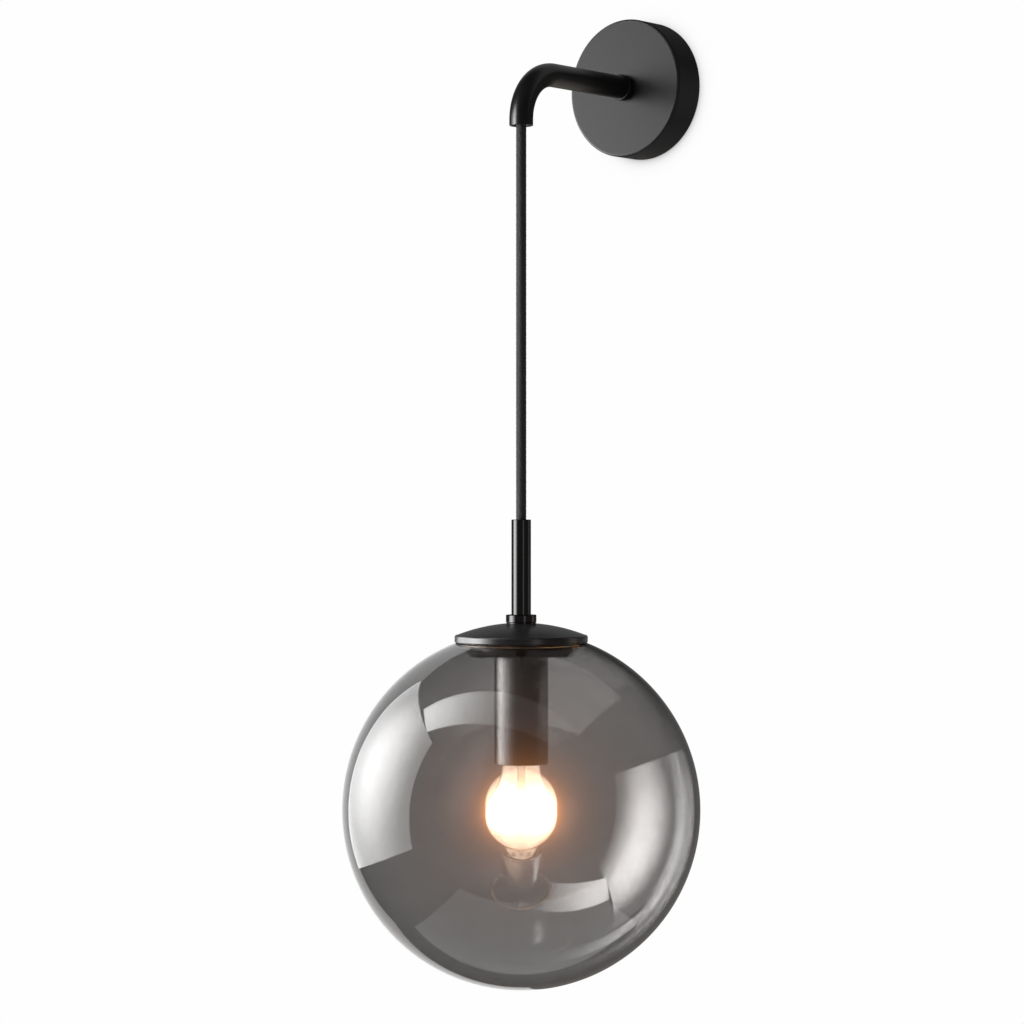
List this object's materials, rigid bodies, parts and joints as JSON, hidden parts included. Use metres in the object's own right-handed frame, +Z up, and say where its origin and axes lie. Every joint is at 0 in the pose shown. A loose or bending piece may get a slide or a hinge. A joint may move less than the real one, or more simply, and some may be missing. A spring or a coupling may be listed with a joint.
{
  "type": "wall sconce",
  "caption": "Wall sconce with a round canopy, a bent tubular arm and a smoked glass globe hung on a braided cord, with a screw-in lamp.",
  "frame": {"origin": "centre of the wall bracket's screw slots, on the wall plane", "axes": "+Z up, +Y into the wall, so the sconce stands out to -Y; +X to the right seen from the front"},
  "size_m": [0.3, 0.32, 0.83],
  "materials": {
    "satin_black": "satin black powder coat",
    "gloss_black": "semi-gloss black enamel",
    "zinc_steel": "zinc plated",
    "spring_steel": "polished spring steel",
    "brass": "plain",
    "nickel": "nickel plated",
    "black_nylon": "moulded",
    "white_nylon": "moulded",
    "black_phenolic": "moulded",
    "white_ceramic": "glazed",
    "silicone": "soft",
    "braid_black": "braided textile",
    "core_brown": "insulation",
    "core_blue": "insulation",
    "core_green": "insulation",
    "smoked_glass": "smoked, polished",
    "clear_glass": "clear",
    "black_vitrite": "moulded glass",
    "solder": "soldered",
    "tungsten": "emissive coil"
  },
  "bodies": {
    "wall_fixture": {"wall_bracket": "zinc_steel", "canopy": "satin_black", "canopy_set_screws": "gloss_black", "arm_root_ring": "satin_black", "arm_tube": "satin_black", "arm_root_plug": "zinc_steel", "arm_nipple": "zinc_steel", "arm_lock_washer": "zinc_steel", "arm_nut": "zinc_steel", "cord_grip": "white_nylon", "cord_grip_screw": "zinc_steel", "outlet_bushing": "black_nylon", "cord_in_arm": "braid_black", "terminal_block": "white_nylon", "terminal_barrels": "brass", "terminal_screws": "zinc_steel", "terminal_block_screw": "zinc_steel", "earth_ring_terminal": "nickel", "earth_screw": "brass", "canopy_live_core": "core_brown", "canopy_neutral_core": "core_blue", "canopy_earth_core": "core_green"},
    "cord_bend": {"cord_flex": "braid_black"},
    "cord": {"hanging_cord": "braid_black", "cord_ferrule": "nickel"},
    "pendant": {"stem": "gloss_black", "stem_bush": "zinc_steel", "stem_collar": "gloss_black", "collar_washer": "gloss_black", "globe_cap": "gloss_black", "pendant_nipple": "zinc_steel", "pendant_nuts": "zinc_steel", "pendant_washers": "zinc_steel", "gallery_pan": "gloss_black", "globe_gasket": "silicone", "spring_clips": "spring_steel", "clip_rivets": "nickel", "socket_cup": "satin_black", "lampholder_hat": "black_phenolic", "lampholder_base": "white_ceramic", "lampholder_sleeve": "black_phenolic", "screw_shell": "brass", "centre_contact": "brass", "lampholder_terminals": "brass", "lampholder_terminal_screws": "zinc_steel", "pendant_live_core": "core_brown", "pendant_neutral_core": "core_blue", "pendant_earth_core": "core_green"},
    "globe": {"glass_globe": "smoked_glass"},
    "lamp_seat": {"lamp_contact": "solder"},
    "lamp": {"lamp_glass": "clear_glass", "lamp_screw_cap": "nickel", "lamp_insulator": "black_vitrite", "lamp_glass_mount": "clear_glass", "lamp_support_wires": "nickel", "lamp_filament": "tungsten"}
  },
  "joints": [
    {"name": "swing_fore_aft", "type": "hinge", "parent": "wall_fixture", "child": "cord_bend", "pos_m": [0, -0.17, -0.042], "axis": [1, 0, 0], "range_deg": [-20, 1.9]},
    {"name": "swing_side", "type": "hinge", "parent": "cord_bend", "child": "cord", "pos_m": [0, -0.17, -0.042], "axis": [0, 1, 0], "range_deg": [-20, 20]},
    {"name": "pendant_twist", "type": "hinge", "parent": "cord", "child": "pendant", "pos_m": [0, -0.17, -0.381], "axis": [0, 0, 1], "range_deg": [-90, 90]},
    {"name": "globe_release", "type": "slide", "parent": "pendant", "child": "globe", "axis": [0, 0, -1], "range_m": [0, 0.2], "deforming": ["spring_clips"]},
    {"name": "lamp_travel", "type": "slide", "parent": "pendant", "child": "lamp_seat", "axis": [0, 0, -1], "range_m": [0, 0.02534]},
    {"name": "lamp_unscrew", "type": "hinge", "parent": "lamp_seat", "child": "lamp", "pos_m": [0, -0.17, -0.58], "axis": [0, 0, -1], "range_deg": [0, 2520]}
  ],
  "couplings": [
    {"joint": "lamp_unscrew", "follows": "lamp_travel", "rad_per_m": 1735.7}
  ]
}
